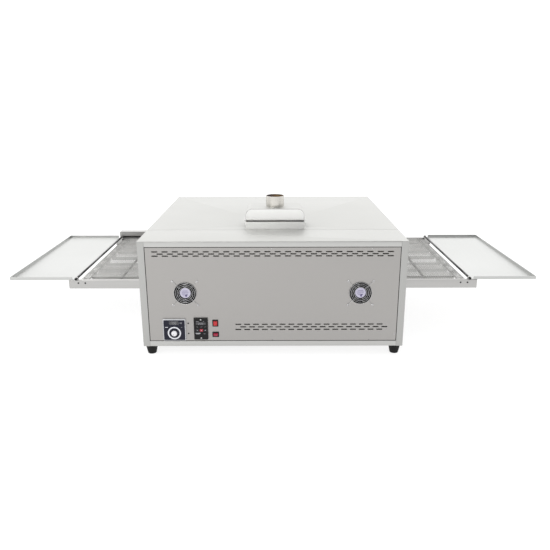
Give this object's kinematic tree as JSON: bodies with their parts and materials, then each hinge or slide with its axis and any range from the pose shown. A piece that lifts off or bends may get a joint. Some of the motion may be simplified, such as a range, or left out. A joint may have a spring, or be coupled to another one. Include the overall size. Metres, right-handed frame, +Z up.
{
  "type": "conveyor pizza oven",
  "caption": "Countertop gas conveyor oven that carries food through a baking chamber on a wire-mesh belt, with folding end trays, flue hood and front controls.",
  "frame": {"origin": "on the floor, under the middle of the overall bounding box", "axes": "+X along the conveyor, -Y towards the control panel, +Z up"},
  "size_m": [2.368, 1.166, 0.644],
  "materials": {
    "casing_steel": "satin",
    "frame_steel": "satin",
    "panel_steel": "satin",
    "cover_steel": "satin",
    "chamber_steel": "satin",
    "insulation": "matte",
    "galvanised_steel": "satin",
    "flue_steel": "satin",
    "foot_rubber": "matte",
    "rail_steel": "satin",
    "black_steel": "satin",
    "bright_steel": "gloss",
    "belt_wire": "gloss",
    "chain_steel": "satin",
    "motor_casting": "satin",
    "tray_steel": "satin",
    "burner_steel": "satin",
    "gas_pipe": "satin",
    "brass": "satin",
    "module_plastic": "matte",
    "black_plastic": "matte",
    "fan_black": "matte",
    "guard_chrome": "gloss",
    "controller_dark": "satin",
    "display_window": "gloss",
    "knob_white": "gloss",
    "controller_black": "satin",
    "button_grey": "matte",
    "button_red": "gloss",
    "rocker_red": "gloss",
    "rocker_dark_red": "gloss",
    "screw_steel": "gloss"
  },
  "bodies": {
    "oven": {"base_pan": "casing_steel", "front_frame": "frame_steel", "front_panel": "panel_steel", "left_side_panel": "casing_steel", "right_side_panel": "casing_steel", "rear_panel": "casing_steel", "main_top_cover": "cover_steel", "front_top_cover": "cover_steel", "chamber_liner": "chamber_steel", "chamber_ends": "chamber_steel", "insulation_slabs": "insulation", "flue_duct": "galvanised_steel", "flue_base": "cover_steel", "flue_hood": "cover_steel", "flue_pipe": "flue_steel", "feet": "foot_rubber", "near_rail": "rail_steel", "far_rail": "rail_steel", "cross_rods": "black_steel", "belt_support_bars": "bright_steel", "wire_belt": "belt_wire", "shaft_bearings": "motor_casting", "rail_supports": "galvanised_steel", "roller_chain": "chain_steel", "chain_guard": "rail_steel", "gear_motor": "motor_casting", "tray_hinge_brackets": "rail_steel", "burner_tubes": "burner_steel", "gas_manifold": "gas_pipe", "gas_valve": "motor_casting", "gas_inlet": "brass", "ignition_module": "module_plastic", "terminal_block": "black_plastic", "cable_gland": "black_plastic", "thermocouple": "bright_steel", "fan_housings": "fan_black", "fan_guards": "guard_chrome", "temperature_controller": "controller_dark", "controller_windows": "display_window", "speed_controller": "controller_black", "switch_frames": "black_plastic", "case_screws": "screw_steel"},
    "left_fan_rotor": {"left_fan_rotor": "fan_black"},
    "right_fan_rotor": {"right_fan_rotor": "fan_black"},
    "drive_shaft_set": {"drive_shaft": "bright_steel", "drive_belt_sprockets": "bright_steel", "driven_chain_sprocket": "chain_steel"},
    "idler_shaft_set": {"idler_shaft": "bright_steel", "idler_belt_sprockets": "bright_steel"},
    "motor_output": {"motor_sprocket": "chain_steel"},
    "temperature_dial": {"temperature_knob": "knob_white"},
    "minus_button": {"minus_button": "button_grey"},
    "run_button": {"run_button": "button_red"},
    "plus_button": {"plus_button": "button_grey"},
    "power_rocker": {"power_rocker": "rocker_red"},
    "drive_rocker": {"drive_rocker": "rocker_dark_red"},
    "left_tray": {"left_tray": "tray_steel", "left_tray_rod": "black_steel"},
    "right_tray": {"right_tray": "tray_steel", "right_tray_rod": "black_steel"}
  },
  "joints": [
    {"name": "left_fan_spin", "type": "hinge", "parent": "oven", "child": "left_fan_rotor", "pos_m": [-0.3693, -0.55, 0.2823], "axis": [0, 1, 0], "continuous": true},
    {"name": "right_fan_spin", "type": "hinge", "parent": "oven", "child": "right_fan_rotor", "pos_m": [0.3693, -0.55, 0.2823], "axis": [0, 1, 0], "continuous": true},
    {"name": "drive_shaft_spin", "type": "hinge", "parent": "oven", "child": "drive_shaft_set", "pos_m": [-0.8615, 0.03, 0.262], "axis": [0, 1, 0], "continuous": true},
    {"name": "idler_shaft_spin", "type": "hinge", "parent": "oven", "child": "idler_shaft_set", "pos_m": [0.8615, 0.03, 0.262], "axis": [0, 1, 0], "continuous": true},
    {"name": "motor_output_spin", "type": "hinge", "parent": "oven", "child": "motor_output", "pos_m": [-0.498, 0.474, 0.262], "axis": [0, 1, 0], "continuous": true},
    {"name": "temperature_dial_turn", "type": "hinge", "parent": "oven", "child": "temperature_dial", "pos_m": [-0.422, -0.575, 0.1058], "axis": [0, 1, 0], "range_deg": [0, 300]},
    {"name": "minus_button_press", "type": "slide", "parent": "oven", "child": "minus_button", "axis": [0, 1, 0], "range_m": [0, 0.0012], "stiffness_N_per_m": 300},
    {"name": "run_button_press", "type": "slide", "parent": "oven", "child": "run_button", "axis": [0, 1, 0], "range_m": [0, 0.0012], "stiffness_N_per_m": 300},
    {"name": "plus_button_press", "type": "slide", "parent": "oven", "child": "plus_button", "axis": [0, 1, 0], "range_m": [0, 0.0012], "stiffness_N_per_m": 300},
    {"name": "power_rocker_tilt", "type": "hinge", "parent": "oven", "child": "power_rocker", "pos_m": [-0.2465, -0.564, 0.1473], "axis": [-1, 0, 0], "range_deg": [0, 10]},
    {"name": "drive_rocker_tilt", "type": "hinge", "parent": "oven", "child": "drive_rocker", "pos_m": [-0.2463, -0.564, 0.0957], "axis": [-1, 0, 0], "range_deg": [0, 10]},
    {"name": "left_tray_fold", "type": "hinge", "parent": "oven", "child": "left_tray", "pos_m": [-0.885, 0.0305, 0.291], "axis": [0, 1, 0], "range_deg": [0, 100]},
    {"name": "right_tray_fold", "type": "hinge", "parent": "oven", "child": "right_tray", "pos_m": [0.885, 0.0305, 0.291], "axis": [0, -1, 0], "range_deg": [0, 100]}
  ],
  "couplings": [
    {"joint": "idler_shaft_spin", "follows": "drive_shaft_spin", "ratio": 1},
    {"joint": "motor_output_spin", "follows": "drive_shaft_spin", "ratio": 1.5}
  ]
}
